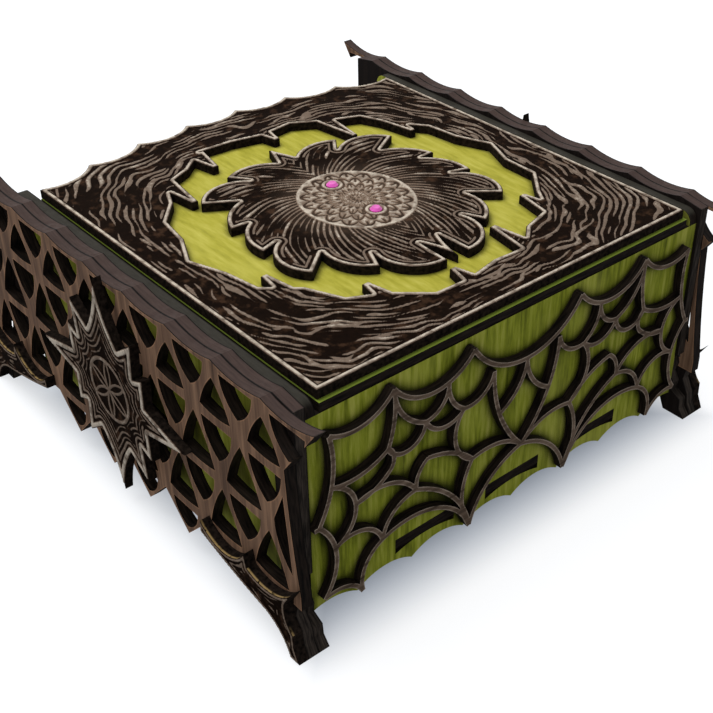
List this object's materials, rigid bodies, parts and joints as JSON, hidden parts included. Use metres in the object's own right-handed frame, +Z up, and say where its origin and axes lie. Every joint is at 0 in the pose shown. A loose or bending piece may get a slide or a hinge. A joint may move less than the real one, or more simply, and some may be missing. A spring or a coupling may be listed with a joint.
{
  "type": "dice box with hinged lid",
  "caption": "Low layered plywood box on splayed feet with fretwork sides and front, raised ornament and a hinged lid over a shallow tray for dice.",
  "frame": {"origin": "on the floor, under the middle of the two side lattices", "axes": "+X to the right seen from the front, +Y to the back where the hinge is, +Z up"},
  "size_m": [0.1966, 0.2152, 0.09],
  "materials": {
    "green_ply": "stained green ply",
    "dark_ply": "dark stained ply with charred edges",
    "engraved_ply": "dark stained ply, laser engraved",
    "lattice_ply": "brown stained ply",
    "web_ply": "grey brown stained ply",
    "foot_ply": "near black stained ply",
    "magenta_gem": "polished cabochon",
    "pin_steel": "plain steel pin"
  },
  "bodies": {
    "box": {"base_plate": "green_ply", "front_wall": "green_ply", "back_wall": "green_ply", "left_wall": "green_ply", "right_wall": "green_ply", "front_web": "web_ply", "left_backing": "dark_ply", "left_lattice": "lattice_ply", "left_emblem": "engraved_ply", "left_front_foot_inner": "foot_ply", "left_front_foot_middle": "foot_ply", "left_front_foot_leaf": "engraved_ply", "left_back_foot_inner": "foot_ply", "left_back_foot_middle": "foot_ply", "left_back_foot_leaf": "engraved_ply", "right_backing": "dark_ply", "right_lattice": "lattice_ply", "right_emblem": "engraved_ply", "right_front_foot_inner": "foot_ply", "right_front_foot_middle": "foot_ply", "right_front_foot_leaf": "engraved_ply", "right_back_foot_inner": "foot_ply", "right_back_foot_middle": "foot_ply", "right_back_foot_leaf": "engraved_ply"},
    "lid": {"lid_board": "green_ply", "lid_border": "engraved_ply", "lid_medallion": "engraved_ply", "front_gem": "magenta_gem", "back_gem": "magenta_gem", "left_hinge_block": "dark_ply", "left_hinge_pin": "pin_steel", "right_hinge_block": "dark_ply", "right_hinge_pin": "pin_steel"}
  },
  "joints": [
    {"name": "lid_hinge", "type": "hinge", "parent": "box", "child": "lid", "pos_m": [0, 0.063, 0.0802], "axis": [-1, 0, 0], "range_deg": [0, 110]}
  ]
}
